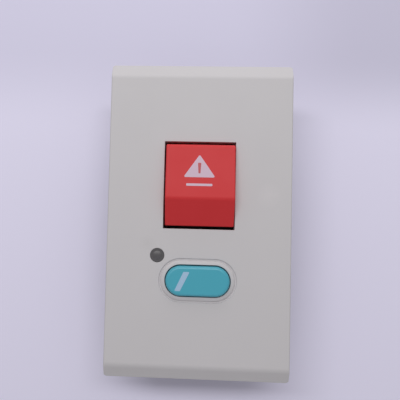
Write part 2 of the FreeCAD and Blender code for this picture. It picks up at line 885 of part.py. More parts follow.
def make_led_spacer():
    body = rod(spacer_radius, board_front, lamp_rim_back, window_x, window_z)
    hole = lamp_lead_side + 2 * lamp_lead_gap
    for side in (-1, 1):
        body = body.cut(centred_block(hole, hole, board_front - margin, lamp_rim_back + margin,
                                      window_x + side * lamp_lead_pitch / 2, window_z))
    return body


def make_control_chip():
    body = centred_block(chip_length, chip_width, board_back - chip_height, board_back - chip_foot,
                         chip_x, chip_z)
    leads = []
    per_side = chip_lead_count // 2
    half = chip_lead_width / 2
    for i in range(per_side):
        x = chip_x + (i - (per_side - 1) / 2) * chip_lead_pitch
        for side in (-1, 1):
            root = chip_z + side * (chip_width / 2 - half)
            tip = chip_z + side * (chip_width / 2 + chip_lead_reach)
            leads.append(block(x - half, x + half, board_back - chip_lead_height, board_back,
                               min(root, tip), max(root, tip)))
    return joined(body, *leads)


def make_resistors():
    return [centred_block(resistor_length, resistor_width, board_back - resistor_height, board_back,
                          resistor_x, resistor_z - i * resistor_pitch) for i in range(resistor_count)]


def make_capacitor():
    return rod(capacitor_radius, board_back - capacitor_height, board_back, capacitor_x, capacitor_z)


def make_terminal_strip():
    """Moulded block with a barrier between the terminals; it passes through the housing's back."""
    body = centred_block(terminal_width, terminal_height, terminal_seat, board_back, z=terminal_z)
    ribs = []
    for i in range(terminal_count + 1):
        x = (i - terminal_count / 2) * terminal_pitch
        ribs.append(centred_block(terminal_barrier, terminal_height, terminal_seat - terminal_barrier_height,
                                  board_back, x, terminal_z))
    body = joined(body, *ribs)
    bottom = terminal_plate_back + terminal_screw_length + screw_tip_room
    for x in terminal_places():
        body = body.cut(rod(terminal_pilot_radius, terminal_seat - margin, bottom, x, terminal_z))
    return body


def make_terminal_plates():
    plates = []
    width = terminal_pitch - terminal_barrier - 2 * terminal_plate_gap
    height = terminal_height - 2 * terminal_plate_gap
    for x in terminal_places():
        plate = centred_block(width, height, terminal_plate_back, terminal_seat, x, terminal_z)
        hole = rod(terminal_pilot_radius, terminal_plate_back - margin, terminal_seat + margin, x, terminal_z)
        plates.append(plate.cut(hole))
    return plates


def make_terminal_screws():
    return [pan_screw(x, terminal_z, terminal_plate_back, terminal_screw_head_radius,
                      terminal_screw_head_height, terminal_screw_radius, terminal_screw_length)
            for x in terminal_places()]


def make_rear_housing():
    """Box that closes the tub from behind, with two screw pillars and a window for the terminals."""
    body = centred_block(tub_width, tub_height, housing_back, floor_back, radius=tub_corner_radius)
    body = body.cut(centred_block(tub_width - 2 * housing_wall, tub_height - 2 * housing_wall,
                                  housing_back + housing_wall, floor_back + margin))
    body = body.multiFuse([corner_block(x, z, housing_back + housing_wall / 2, floor_back)
                           for x, z in housing_screw_places()])
    bore = housing_screw_radius + pilot_clearance
    for x, z in housing_screw_places():
        body = body.cut(rod(bore, housing_back - margin, floor_back + margin, x, z))
        body = body.cut(countersink(x, z, housing_back, housing_screw_sink, housing_screw_head_radius,
                                    housing_screw_head_height, housing_screw_radius))
    room = 2 * terminal_window_gap
    window = centred_block(terminal_width + room, terminal_height + room,
                           housing_back - margin, housing_back + housing_wall + margin, z=terminal_z)
    return body.cut(window).removeSplitter()


def make_housing_screws():
    return [flat_screw(x, z, housing_screw_face, housing_screw_head_radius, housing_screw_head_height,
                       housing_screw_radius, housing_screw_length) for x, z in housing_screw_places()]


def save(name, shape):
    """Writes one sub-part; a list is a group of separate solids."""
    if isinstance(shape, list):
        shape = Part.makeCompound(shape)
    shape.exportStep("parts/" + name + ".step")


def main():
    os.makedirs("parts", exist_ok=True)
    save("face_plate", make_face_plate())
    save("led_window", make_led_window())
    save("call_paddle", make_call_paddle())
    save("paddle_pin", make_paddle_pin())
    save("paddle_spring", make_paddle_spring())
    save("paddle_bumper", make_paddle_bumper())
    save("cancel_button", make_cancel_button())
    save("cancel_spring", make_cancel_spring())
    save("call_switch_body", make_switch_body(call_switch_z))
    save("call_switch_plunger", make_switch_plunger(call_switch_z))
    save("cancel_switch_body", make_switch_body(button_z))
    save("cancel_switch_plunger", make_switch_plunger(button_z))
    save("chassis", make_chassis())
    save("circuit_board", make_circuit_board())
    save("indicator_led", make_indicator_led())
    save("led_spacer", make_led_spacer())
    save("control_chip", make_control_chip())
    save("resistors", make_resistors())
    save("capacitor", make_capacitor())
    save("terminal_strip", make_terminal_strip())
    save("terminal_plates", make_terminal_plates())
    save("terminal_screws", make_terminal_screws())
    save("rear_housing", make_rear_housing())
    save("housing_screws", make_housing_screws())


main()
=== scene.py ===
import json
import math
import bmesh
import bpy
from mathutils import Matrix, Vector

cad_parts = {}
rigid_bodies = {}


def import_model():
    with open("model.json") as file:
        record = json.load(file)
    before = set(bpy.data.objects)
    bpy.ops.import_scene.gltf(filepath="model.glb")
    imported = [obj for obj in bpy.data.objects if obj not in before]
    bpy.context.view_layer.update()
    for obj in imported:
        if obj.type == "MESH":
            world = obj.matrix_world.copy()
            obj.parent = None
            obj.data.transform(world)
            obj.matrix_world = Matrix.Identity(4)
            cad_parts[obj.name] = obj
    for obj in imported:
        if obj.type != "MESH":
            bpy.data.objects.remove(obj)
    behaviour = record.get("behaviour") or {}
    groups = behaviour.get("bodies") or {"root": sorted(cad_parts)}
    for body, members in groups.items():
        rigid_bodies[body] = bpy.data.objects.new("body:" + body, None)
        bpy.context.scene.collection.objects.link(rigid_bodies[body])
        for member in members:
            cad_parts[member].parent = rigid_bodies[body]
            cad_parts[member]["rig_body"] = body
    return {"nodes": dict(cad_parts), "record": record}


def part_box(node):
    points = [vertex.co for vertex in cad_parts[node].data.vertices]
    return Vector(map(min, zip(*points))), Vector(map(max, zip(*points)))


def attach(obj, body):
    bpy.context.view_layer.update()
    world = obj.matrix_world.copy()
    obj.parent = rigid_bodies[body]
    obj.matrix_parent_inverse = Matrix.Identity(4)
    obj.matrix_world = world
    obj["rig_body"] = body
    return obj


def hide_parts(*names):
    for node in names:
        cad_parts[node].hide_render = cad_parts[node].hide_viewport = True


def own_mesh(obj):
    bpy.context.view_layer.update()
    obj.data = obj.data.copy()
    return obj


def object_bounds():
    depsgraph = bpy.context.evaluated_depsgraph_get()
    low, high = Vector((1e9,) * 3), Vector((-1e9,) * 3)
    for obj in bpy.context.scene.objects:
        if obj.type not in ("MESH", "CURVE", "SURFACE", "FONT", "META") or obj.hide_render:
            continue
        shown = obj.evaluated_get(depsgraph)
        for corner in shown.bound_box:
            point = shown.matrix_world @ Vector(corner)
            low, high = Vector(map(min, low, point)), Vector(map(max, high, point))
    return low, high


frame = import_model()
cad_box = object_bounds()

# All lengths are in metres; MM turns a size in millimetres into metres.
# The wall is the plane y = 0 and the front faces -Y, so a height in front of the wall is -y.
MM = 0.001

# Copies of construction pieces: points nearer than this are one, edges shorter than this go, and faces
# that lean less than this against each other are joined
MERGE_DISTANCE = 0.002 * MM
SHORTEST_EDGE = 0.02 * MM
FLAT_ANGLE_DEG = 0.4

# Broken edges: which edges of copies and of grown pieces are broken, and how wide they are on each piece
COPY_EDGE_ANGLE_DEG = 28.0
GROWN_EDGE_ANGLE_DEG = 50.0
EDGE_SEGMENTS = 2
SHELL_EDGES = {
    "face_plate": ("cover_plate", 0.15 * MM),
    "call_paddle": ("push_paddle", 0.1 * MM),
    "cancel_button": ("oval_button", 0.15 * MM),
    "chassis": ("moulded_chassis", 0.1 * MM),
    "rear_housing": ("rear_box", 0.2 * MM),
    "terminal_strip": ("terminal_block", 0.15 * MM),
}
SCREW_EDGE = 0.06 * MM
CLAMP_PLATE_EDGE = 0.05 * MM
RESISTOR_EDGE = 0.04 * MM
COIL_EDGE = 0.02 * MM
STRIP_EDGE = 0.05 * MM

# Finishes: detail of the noise in patches, grain and marks
PATCH_DETAIL = 4.0
GRAIN_DETAIL = 3.0
MARK_DETAIL = 5.0

# Shading: edges sharper than this stay sharp, and how strongly large faces set the normals
SHARP_ANGLE_DEG = 40.0
EVEN_SHADING_WEIGHT = 80

# Camera, as the photograph was taken: place in front of the plate, turns and framing
CAMERA_PLACE = (-3.0 * MM, -182.5 * MM, 0.4 * MM)
CAMERA_YAW_DEG = 2.66
CAMERA_TILT_DEG = 2.36
CAMERA_ROLL_DEG = 1.43
CAMERA_LENS = 41.27
CAMERA_SHIFT = 0.075
CAMERA_CLIP = 5 * MM
SENSOR_WIDTH = 36.0

# Stage: pale surfaces behind and below; the backdrop's colour carries painted light that makes it lighter
# from the middle down and painted shade at the upper right; the fades give where each starts and where it is
# full
BACKDROP_GAP = 0.2 * MM
BACKDROP_HALF = 0.7
FLOOR_DROP = 0.25
STAGE_COLOUR = (0.74, 0.71, 0.885)
# painted light: the lighter colour that the backdrop takes from the middle down
STAGE_PAINTED_LIGHT_COLOUR = (0.853, 0.817, 1.0)
STAGE_PAINTED_LIGHT_Z = (80 * MM, 40 * MM)
# painted shade: how much darker the backdrop is made towards its upper right corner
STAGE_PAINTED_CORNER_SHADE = 0.12
STAGE_PAINTED_SHADE_X = (10 * MM, 75 * MM)
STAGE_PAINTED_SHADE_Z = (40 * MM, 75 * MM)
MIRROR_REACH = 60 * MM

# Light: the world's even light, and softboxes with their power in watts
WORLD_COLOUR = (1.0, 1.0, 1.0)
WORLD_SEEN = (0.60, 0.58, 0.70)
WORLD_STRENGTH = 0.325
KEY_ELEVATION_DEG = 23.0
KEY_AZIMUTH_DEG = -6.0
KEY_DISTANCE = 0.7
KEY_WIDTH = 0.75
KEY_HEIGHT = 0.12
KEY_POWER = 2.22
OVERHEAD_ELEVATION_DEG = 72.0
OVERHEAD_DISTANCE = 0.5
OVERHEAD_WIDTH = 0.4
OVERHEAD_POWER = 0.74
REAR_ELEVATION_DEG = 30.0
REAR_AZIMUTH_DEG = 160.0
REAR_DISTANCE = 0.6
REAR_WIDTH = 0.5
REAR_POWER = 1.7

# Paddle print: a rounded triangle with a bar in it and a thin line below, on the upper face
SYMBOL_TOP_Z = 24.7 * MM
SYMBOL_BASE_Z = 16.1 * MM
SYMBOL_HALF_WIDTH = 5.95 * MM
SYMBOL_CORNER = 0.4 * MM
SYMBOL_X = -0.2 * MM
BAR_TOP_Z = 21.6 * MM
BAR_BASE_Z = 17.6 * MM
BAR_TOP_HALF = 0.62 * MM
BAR_BASE_HALF = 0.36 * MM
BAR_CORNER = 0.25 * MM
LINE_Z = 13.3 * MM
LINE_HALF_WIDTH = 4.85 * MM
LINE_HALF_HEIGHT = 0.45 * MM
LINE_CORNER = 0.3 * MM
INK_THICKNESS = 0.03 * MM
INK_SINK = 0.02 * MM

# Button print: a slanted stripe, as (left x, right x, z)
STRIPE_TOP = (-5.3 * MM, -3.0 * MM, -19.1 * MM)
STRIPE_BASE = (-8.6 * MM, -6.5 * MM, -26.25 * MM)
STRIPE_CORNER = 0.3 * MM

# The paddle's upper face is the one that faces the front and leans up by this much
FRONT_FACING_Y = -0.98
UPPER_FACE_LEAN = (0.05, 0.2)

# Coil spring
COIL_WIRE_RADIUS = 0.25 * MM
COIL_TURNS = 5.0

# Screws: sizes in millimetres by the tree's input names; the cross recess narrows to a share of its length
RECESS_SIZES = {"Recess Length": 2.9, "Recess Width": 0.85, "Recess Depth": 1.1}
COUNTERSUNK_SIZES = {"Neck Radius": 1.25, "Head Height": 1.6, "Dome": 0.02, "Shank Radius": 1.25,
                     "Thread Pitch": 0.8, "Thread Depth": 0.25}
DOMED_SIZES = {"Neck Radius": 2.5, "Head Height": 1.7, "Dome": 0.35, "Shank Radius": 1.2,
               "Thread Pitch": 0.6, "Thread Depth": 0.2}
RECESS_TIP_SHARE = 0.45
FACE_TOLERANCE = 0.001 * MM

# Terminal plates: hole and ridges; a ridge's length is a share of the plate's width, and its breadth and
# how far in the first one lies are shares of the pitch
CLAMP_HOLE_RADIUS = 1.23 * MM
RIDGE_HEIGHT = 0.2 * MM
RIDGE_PITCH = 0.8 * MM
RIDGE_LENGTH_SHARE = 0.8
RIDGE_BREADTH_SHARE = 0.5
FIRST_RIDGE_SHARE = 0.6
RIDGES_A_SIDE = 3

# Chip resistors: a cap's share of the whole length, and the body's shares of the whole length and width,
# and of the whole height
CAP_SHARE = 0.15
BODY_PLAN_SHARE = 0.94
BODY_HEIGHT_SHARE = 0.9

# How many sides or steps round forms have
HEAD_SIDES = 48
HEAD_RINGS = 6
SHANK_SIDES = 24
THREAD_SIDES = 4
BORE_SIDES = 32
WIRE_SIDES = 12
HELIX_STEPS = 20
TURNED_SIDES = 72
CORNER_STEPS = 6
RIM_STEPS = 4
LENS_STEPS = 10

# Lamp window: a dished ring round a small lens, in its front
WINDOW_FLANGE_DEPTH = 1.0 * MM
WINDOW_STEM_RADIUS = 2.65 * MM
WINDOW_DOME = 0.25 * MM
WINDOW_RIM = 0.12 * MM
WINDOW_LENS_RADIUS = 1.7 * MM
WINDOW_DISH = 0.12 * MM
WINDOW_LENS_EDGE = 0.1 * MM


def new_object(name, data):
    """Puts a mesh, lamp or camera into the scene."""
    item = bpy.data.objects.new(name, data)
    bpy.context.scene.collection.objects.link(item)
    return item


def object_from(name, bm):
    """Makes a piece of an edited mesh, which is freed."""
    mesh = bpy.data.meshes.new(name)
    bm.to_mesh(mesh)
    bm.free()
    return new_object(name, mesh)


def made_plain(piece):
    """Turns a piece with its modifiers into a plain mesh."""
    graph = bpy.context.evaluated_depsgraph_get()
    mesh = bpy.data.meshes.new_from_object(piece.evaluated_get(graph))
    piece.modifiers.clear()
    piece.data = mesh
    return piece


def break_edges(piece, width, angle_deg):
    """Adds a small bevel on every edge that is sharper than the angle."""
    bevel = piece.modifiers.new("broken_edges", "BEVEL")
    bevel.limit_method = "ANGLE"
    bevel.angle_limit = math.radians(angle_deg)
    bevel.width = width
    bevel.segments = EDGE_SEGMENTS
    return bevel


def refined(node, name, edge_width):
    """A copy of a construction piece in its finish, with its small edges broken and its curves smooth."""
    bm = bmesh.new()
    bm.from_mesh(frame["nodes"][node].data)
    bmesh.ops.remove_doubles(bm, verts=bm.verts, dist=MERGE_DISTANCE)
    bmesh.ops.dissolve_limit(bm, angle_limit=math.radians(FLAT_ANGLE_DEG), verts=bm.verts, edges=bm.edges)
    bmesh.ops.dissolve_degenerate(bm, dist=SHORTEST_EDGE, edges=bm.edges)
    piece = object_from(name, bm)
    piece.data.materials.append(finishes[slot_of[node]])
    piece.data.shade_smooth()
    break_edges(piece, edge_width, COPY_EDGE_ANGLE_DEG).use_clamp_overlap = False
    even = piece.modifiers.new("even_shading", "WEIGHTED_NORMAL")
    even.weight = EVEN_SHADING_WEIGHT
    return made_plain(piece)


def stand_for(piece, node):
    """The piece is shown for a construction piece and moves with its body."""
    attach(piece, frame["nodes"][node]["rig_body"])
    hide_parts(node)
    return piece


# Helpers and shader groups that several finishes share

def feed(tree, item, socket):
    """Links another socket to this one, or sets it to a plain number or colour."""
    if isinstance(item, bpy.types.NodeSocket):
        tree.links.new(item, socket)
    else:
        socket.default_value = item


def value(tree, operation, first, second, clamped=False):
    """A sum, difference, product, quotient or comparison of two sockets or plain numbers."""
    node = tree.nodes.new("ShaderNodeMath")
    node.operation = operation
    node.use_clamp = clamped
    feed(tree, first, node.inputs[0])
    feed(tree, second, node.inputs[1])
    return node.outputs[0]


def vector_value(tree, operation, first, second):
    """The same for vectors, axis by axis."""
    node = tree.nodes.new("ShaderNodeVectorMath")
    node.operation = operation
    feed(tree, first, node.inputs[0])
    feed(tree, second, node.inputs[1])
    return node.outputs["Vector"]


def blended(tree, share, first, second):
    """The first colour, with this share of the second."""
    mix = tree.nodes.new("ShaderNodeMix")
    mix.data_type = "RGBA"
    for item, socket in ((share, "Factor"), (first, "A"), (second, "B")):
        feed(tree, item, mix.inputs[socket])
    return mix.outputs["Result"]


def object_place(tree):
    return tree.nodes.new("ShaderNodeTexCoord").outputs["Object"]


def noise(tree, place, scale, detail):
    node = tree.nodes.new("ShaderNodeTexNoise")
    node.inputs["Detail"].default_value = detail
    tree.links.new(place, node.inputs["Vector"])
    tree.links.new(scale, node.inputs["Scale"])
    return node.outputs["Fac"]


def group_tree(name, inputs, outputs):
    """A new shader group with named inputs and outputs, and its two end nodes."""
    tree = bpy.data.node_groups.new(name, "ShaderNodeTree")
    for kind, sockets in (("INPUT", inputs), ("OUTPUT", outputs)):
        for socket_name, socket_type in sockets:
            tree.interface.new_socket(socket_name, in_out=kind, socket_type=socket_type)
    return tree, tree.nodes.new("NodeGroupInput"), tree.nodes.new("NodeGroupOutput")


def moulded_surface_group():
    """Fine moulded texture: colour that drifts a little in soft patches, and the height of its grain."""
    tree, source, sink = group_tree(
        "moulded_surface",
        [("Colour", "NodeSocketColor"), ("Shade", "NodeSocketColor"), ("Patch Scale", "NodeSocketFloat"),
         ("Patch Amount", "NodeSocketFloat"), ("Grain Scale", "NodeSocketFloat"),
         ("Roughness", "NodeSocketFloat"), ("Roughness Spread", "NodeSocketFloat")],
        [("Colour", "NodeSocketColor"), ("Roughness", "NodeSocketFloat"), ("Height", "NodeSocketFloat")])
    given = source.outputs
    place = object_place(tree)
    patches = noise(tree, place, given["Patch Scale"], PATCH_DETAIL)
    grain = noise(tree, place, given["Grain Scale"], GRAIN_DETAIL)
    amount = value(tree, "MULTIPLY", patches, given["Patch Amount"])
    colour = blended(tree, amount, given["Colour"], given["Shade"])
    drift = value(tree, "MULTIPLY", value(tree, "SUBTRACT", patches, 0.5), given["Roughness Spread"])
    roughness = value(tree, "ADD", drift, given["Roughness"])
    for item, socket in ((colour, "Colour"), (roughness, "Roughness"), (grain, "Height")):
        tree.links.new(item, sink.inputs[socket])
    return tree


def mark_group():
    """A soft-edged mark at a place on the front, broken up by noise."""
    tree, source, sink = group_tree(
        "mark",
        [("Place", "NodeSocketVector"), ("Size", "NodeSocketVector"), ("Break Scale", "NodeSocketFloat")],
        [("Mask", "NodeSocketFloat")])
    given = source.outputs
    place = object_place(tree)
    offset = vector_value(tree, "SUBTRACT", place, given["Place"])
    length = tree.nodes.new("ShaderNodeVectorMath")
    length.operation = "LENGTH"
    tree.links.new(vector_value(tree, "DIVIDE", offset, given["Size"]), length.inputs[0])
    fade = tree.nodes.new("ShaderNodeMapRange")
    fade.inputs["From Min"].default_value = 1.0
    fade.inputs["From Max"].default_value = 0.0
    tree.links.new(length.outputs["Value"], fade.inputs["Value"])
    breaks = noise(tree, place, given["Break Scale"], MARK_DETAIL)
    broken = value(tree, "MULTIPLY", fade.outputs["Result"], breaks)
    tree.links.new(broken, sink.inputs["Mask"])
    return tree


moulded_surface = moulded_surface_group()
mark = mark_group()


def finish(name, roughness, metallic=0.0, specular=0.5):
    """A new material with its shader; what varies over the surface is linked by the caller."""
    material = bpy.data.materials.new(name)
    material.use_nodes = True
    shader = material.node_tree.nodes["Principled BSDF"]
    shader.inputs["Roughness"].default_value = roughness
    shader.inputs["Metallic"].default_value = metallic
    shader.inputs["Specular IOR Level"].default_value = specular
    return material, material.node_tree, shader


def placed_group(tree, group, settings):
    """A shader group's node in a material, with its own settings by input name."""
    node = tree.nodes.new("ShaderNodeGroup")
    node.node_tree = group
    for socket, setting in settings.items():
        node.inputs[socket].default_value = setting
    return node


def moulded(name, colour, shade, roughness, grain_size=0.25, grain_depth=0.01, patch_size=9.0,
            patch_amount=0.5, spread=0.12, specular=0.5, metallic=0.0):
    """A moulded or cast finish; sizes of grain and patches are in millimetres."""
    material, tree, shader = finish(name, roughness, metallic, specular)
    surface = placed_group(tree, moulded_surface, {
        "Colour": (*colour, 1.0), "Shade": (*shade, 1.0), "Patch Scale": 1.0 / (patch_size * MM),
        "Patch Amount": patch_amount, "Grain Scale": 1.0 / (grain_size * MM),
        "Roughness": roughness, "Roughness Spread": spread})
    tree.links.new(surface.outputs["Colour"], shader.inputs["Base Color"])
    tree.links.new(surface.outputs["Roughness"], shader.inputs["Roughness"])
    bump = tree.nodes.new("ShaderNodeBump")
    bump.inputs["Strength"].default_value = 1.0
    bump.inputs["Distance"].default_value = grain_depth * MM
    tree.links.new(surface.outputs["Height"], bump.inputs["Height"])
    tree.links.new(bump.outputs["Normal"], shader.inputs["Normal"])
    return material


def add_mark(material, place, size, break_size, colour, amount):
    """Puts a soft mark over a material's colour; place and sizes are in millimetres."""
    tree = material.node_tree
    base = tree.nodes["Principled BSDF"].inputs["Base Color"]
    below = base.links[0].from_socket
    spot = placed_group(tree, mark, {
        "Place": [v * MM for v in place], "Size": [v * MM for v in size],
        "Break Scale": 1.0 / (break_size * MM)})
    strength = value(tree, "MULTIPLY", spot.outputs["Mask"], amount)
    tree.links.new(blended(tree, strength, below, (*colour, 1.0)), base)


def ivory_plastic():
    """The cover's plastic, with a pale rub right of the paddle and a faint smudge at the lamp window."""
    material = moulded("ivory_plastic", (0.616, 0.592, 0.611), (0.576, 0.552, 0.571), 0.55, grain_size=0.35,
                       grain_depth=0.006, patch_size=14.0, patch_amount=0.35, specular=0.4)
    add_mark(material, (26.0, -9.0, 10.0), (5.0, 6.0, 5.0), 1.6, (0.70, 0.66, 0.68), 0.7)
    add_mark(material, (-19.0, -9.0, -9.0), (4.0, 6.0, 3.5), 0.9, (0.50, 0.48, 0.49), 0.5)
    return material


slot_of = {part["node"]: part["material_slot"] for part in frame["record"]["subparts"]}
finishes = {
    "ivory_abs": ivory_plastic(),
    "red_abs": moulded("red_plastic", (0.65, 0.034, 0.039), (0.61, 0.029, 0.033), 0.5, grain_size=0.3,
                       grain_depth=0.004, patch_size=12.0, specular=0.3),
    "teal_abs": moulded("teal_plastic", (0.074, 0.415, 0.535), (0.066, 0.385, 0.495), 0.33, grain_size=0.3,
                        grain_depth=0.004, patch_size=8.0),
    "smoked_window": moulded("smoked_acrylic", (0.10, 0.095, 0.10), (0.08, 0.075, 0.08), 0.38,
                             grain_size=1.0, grain_depth=0.002, patch_size=3.0, spread=0.08),
    "black_abs": moulded("black_plastic", (0.022, 0.022, 0.024), (0.035, 0.035, 0.036), 0.5,
                         grain_depth=0.012),
    "grey_abs": moulded("grey_plastic", (0.20, 0.205, 0.215), (0.16, 0.165, 0.175), 0.5, grain_depth=0.012),
    "pin_steel": moulded("ground_steel", (0.62, 0.62, 0.63), (0.50, 0.50, 0.51), 0.28, grain_size=0.12,
                         grain_depth=0.003, metallic=1.0),
    "spring_steel": moulded("bright_spring_steel", (0.50, 0.50, 0.51), (0.38, 0.38, 0.40), 0.32,
                            grain_size=0.15, grain_depth=0.003, metallic=1.0),
    "screw_steel": moulded("plated_steel", (0.66, 0.66, 0.64), (0.52, 0.52, 0.48), 0.34, grain_size=0.3,
                           grain_depth=0.005, patch_size=2.5, metallic=1.0),
    "pad_rubber": moulded("black_rubber", (0.02, 0.02, 0.02), (0.04, 0.04, 0.04), 0.8, grain_depth=0.02),
    "switch_plastic": moulded("switch_plastic", (0.03, 0.03, 0.033), (0.05, 0.05, 0.05), 0.45),
    "plunger_plastic": moulded("plunger_plastic", (0.68, 0.66, 0.60), (0.58, 0.56, 0.50), 0.4),
    "board_laminate": moulded("green_board", (0.02, 0.14, 0.05), (0.015, 0.10, 0.035), 0.35, grain_size=0.5,
                              grain_depth=0.01, patch_size=5.0),
    "lamp_resin": moulded("lamp_resin", (0.48, 0.03, 0.03), (0.36, 0.02, 0.02), 0.15, grain_depth=0.002),
    "spacer_nylon": moulded("nylon", (0.66, 0.64, 0.58), (0.56, 0.54, 0.48), 0.5),
    "chip_resin": moulded("chip_resin", (0.02, 0.02, 0.021), (0.035, 0.035, 0.035), 0.5, grain_depth=0.015),
    "resistor_ceramic": moulded("resistor_film", (0.02, 0.02, 0.022), (0.05, 0.05, 0.05), 0.3),
    "capacitor_can": moulded("can_sleeve", (0.02, 0.03, 0.07), (0.03, 0.04, 0.09), 0.35),
    "terminal_resin": moulded("black_resin", (0.025, 0.025, 0.028), (0.05, 0.05, 0.05), 0.48,
                              grain_depth=0.015),
    "terminal_brass": moulded("tinned_brass", (0.70, 0.60, 0.36), (0.55, 0.46, 0.26), 0.3, grain_size=0.2,
                              grain_depth=0.005, patch_size=2.0, metallic=1.0),
}


# Geometry trees for the pieces that repeat; each one is placed on the vertices of a bare mesh

def geometry_tree(name, sizes, materials=("Material",)):
    """A new tree with a geometry input and output, and named inputs for its sizes and materials."""
    tree = bpy.data.node_groups.new(name, "GeometryNodeTree")
    tree.interface.new_socket("Geometry", in_out="INPUT", socket_type="NodeSocketGeometry")
    for names, socket_type in ((sizes, "NodeSocketFloat"), (materials, "NodeSocketMaterial")):
        for socket_name in names:
            tree.interface.new_socket(socket_name, in_out="INPUT", socket_type=socket_type)
    tree.interface.new_socket("Geometry", in_out="OUTPUT", socket_type="NodeSocketGeometry")
    return tree, tree.nodes.new("NodeGroupInput"), tree.nodes.new("NodeGroupOutput")


def vector(tree, x=0.0, y=0.0, z=0.0):
    node = tree.nodes.new("ShaderNodeCombineXYZ")
    for socket, item in zip(node.inputs, (x, y, z)):
        feed(tree, item, socket)
    return node.outputs[0]


def point_axes(tree):
    """The X, Y and Z of each point's place."""
    place = tree.nodes.new("GeometryNodeInputPosition")
    axes = tree.nodes.new("ShaderNodeSeparateXYZ")
    tree.links.new(place.outputs[0], axes.inputs[0])
    return axes.outputs


def moved(tree, geometry, place=None, turn=(0.0, 0.0, 0.0)):
    node = tree.nodes.new("GeometryNodeTransform")
    node.inputs["Rotation"].default_value = turn
    tree.links.new(geometry, node.inputs["Geometry"])
    if place:
        tree.links.new(place, node.inputs["Translation"])
    return node.outputs["Geometry"]


def shifted_points(tree, geometry, selection, offset):
    """Moves the selected points of a mesh."""
    node = tree.nodes.new("GeometryNodeSetPosition")
    for item, socket in ((geometry, "Geometry"), (selection, "Selection"), (offset, "Offset")):
        tree.links.new(item, node.inputs[socket])
    return node.outputs["Geometry"]


def box_mesh(tree, width, depth, height):
    node = tree.nodes.new("GeometryNodeMeshCube")
    tree.links.new(vector(tree, width, depth, height), node.inputs["Size"])
    return node.outputs["Mesh"]


def cone_mesh(tree, top_radius, bottom_radius, height, sides, rings=1):
    """A cone or cylinder that stands on z = 0."""
    node = tree.nodes.new("GeometryNodeMeshCone")
    node.inputs["Vertices"].default_value = sides
    node.inputs["Fill Segments"].default_value = rings
    for socket, item in (("Radius Top", top_radius), ("Radius Bottom", bottom_radius), ("Depth", height)):
        tree.links.new(item, node.inputs[socket])
    return node.outputs["Mesh"]


def gathered(tree, *parts):
    """Joins parts into one mesh."""
    node = tree.nodes.new("GeometryNodeJoinGeometry")
    for part in parts:
        tree.links.new(part, node.inputs["Geometry"])
    return node.outputs["Geometry"]


def mesh_cut(tree, body, *tools):
    """Takes the tools' shapes out of the body."""
    node = tree.nodes.new("GeometryNodeMeshBoolean")
    node.operation = "DIFFERENCE"
    node.solver = "EXACT"
    tree.links.new(body, node.inputs["Mesh 1"])
    for tool in tools:
        tree.links.new(tool, node.inputs["Mesh 2"])
    return node.outputs["Mesh"]


def helix_tube(tree, radius, wire_radius, turns, height, sides):
    """A tube that follows a helix from z = 0 upwards; the helix is given by sockets."""
    helix = tree.nodes.new("GeometryNodeCurveSpiral")
    helix.inputs["Resolution"].default_value = HELIX_STEPS
    for item, socket in ((turns, "Rotations"), (radius, "Start Radius"), (radius, "End Radius"),
                         (height, "Height")):
        tree.links.new(item, helix.inputs[socket])
    upright = tree.nodes.new("GeometryNodeSetCurveNormal")
    upright.mode = "Z_UP"
    tree.links.new(helix.outputs["Curve"], upright.inputs["Curve"])
    section = tree.nodes.new("GeometryNodeCurvePrimitiveCircle")
    section.inputs["Resolution"].default_value = sides
    tree.links.new(wire_radius, section.inputs["Radius"])
    tube = tree.nodes.new("GeometryNodeCurveToMesh")
    tube.inputs["Fill Caps"].default_value = True
    tree.links.new(upright.outputs["Curve"], tube.inputs["Curve"])
    tree.links.new(section.outputs["Curve"], tube.inputs["Profile Curve"])
    return tube.outputs["Mesh"]


def painted(tree, geometry, material_socket, selection=None):
    """Gives the geometry, or the selected faces of it, a material."""
    node = tree.nodes.new("GeometryNodeSetMaterial")
    tree.links.new(geometry, node.inputs["Geometry"])
    tree.links.new(material_socket, node.inputs["Material"])
    if selection:
        tree.links.new(selection, node.inputs["Selection"])
    return node.outputs["Geometry"]


def repeated(tree, source, item):
    """Puts the item on every point, with its own z axis turned towards the wall, in its material."""
    spread = tree.nodes.new("GeometryNodeInstanceOnPoints")
    spread.inputs["Rotation"].default_value = (-math.pi / 2, 0.0, 0.0)
    tree.links.new(source.outputs["Geometry"], spread.inputs["Points"])
    tree.links.new(item, spread.inputs["Instance"])
    solid = tree.nodes.new("GeometryNodeRealizeInstances")
    tree.links.new(spread.outputs["Instances"], solid.inputs["Geometry"])
    return painted(tree, solid.outputs["Geometry"], source.outputs["Material"])


def domed_head(tree, given):
    """A head whose flat top at z = 0 falls away towards its rim, by the fourth power of the distance."""
    head = cone_mesh(tree, given["Head Radius"], given["Neck Radius"], given["Head Height"], HEAD_SIDES,
                     rings=HEAD_RINGS)
    head = moved(tree, head, vector(tree, z=value(tree, "MULTIPLY", given["Head Height"], -1.0)))
    axes = point_axes(tree)
    squares = [value(tree, "POWER", axes[name], 2.0) for name in ("X", "Y")]
    rim_square = value(tree, "POWER", given["Head Radius"], 2.0)
    share = value(tree, "DIVIDE", value(tree, "ADD", *squares), rim_square)
    fall = value(tree, "MULTIPLY", value(tree, "MULTIPLY", share, share), given["Dome"])
    on_top = value(tree, "GREATER_THAN", axes["Z"], -FACE_TOLERANCE)
    return shifted_points(tree, head, on_top, vector(tree, z=value(tree, "MULTIPLY", fall, -1.0)))


def cross_arms(tree, given):
    """The two arms of a cross recess, each shorter at its bottom."""
    deep = value(tree, "MULTIPLY", given["Recess Depth"], 2.0)
    blade = box_mesh(tree, given["Recess Length"], given["Recess Width"], deep)
    axes = point_axes(tree)
    at_bottom = value(tree, "LESS_THAN", axes["Z"], 0.0)
    drawn_in = vector(tree, value(tree, "MULTIPLY", axes["X"], RECESS_TIP_SHARE - 1.0))
    arm = shifted_points(tree, blade, at_bottom, drawn_in)
    return arm, moved(tree, arm, turn=(0.0, 0.0, math.pi / 2))


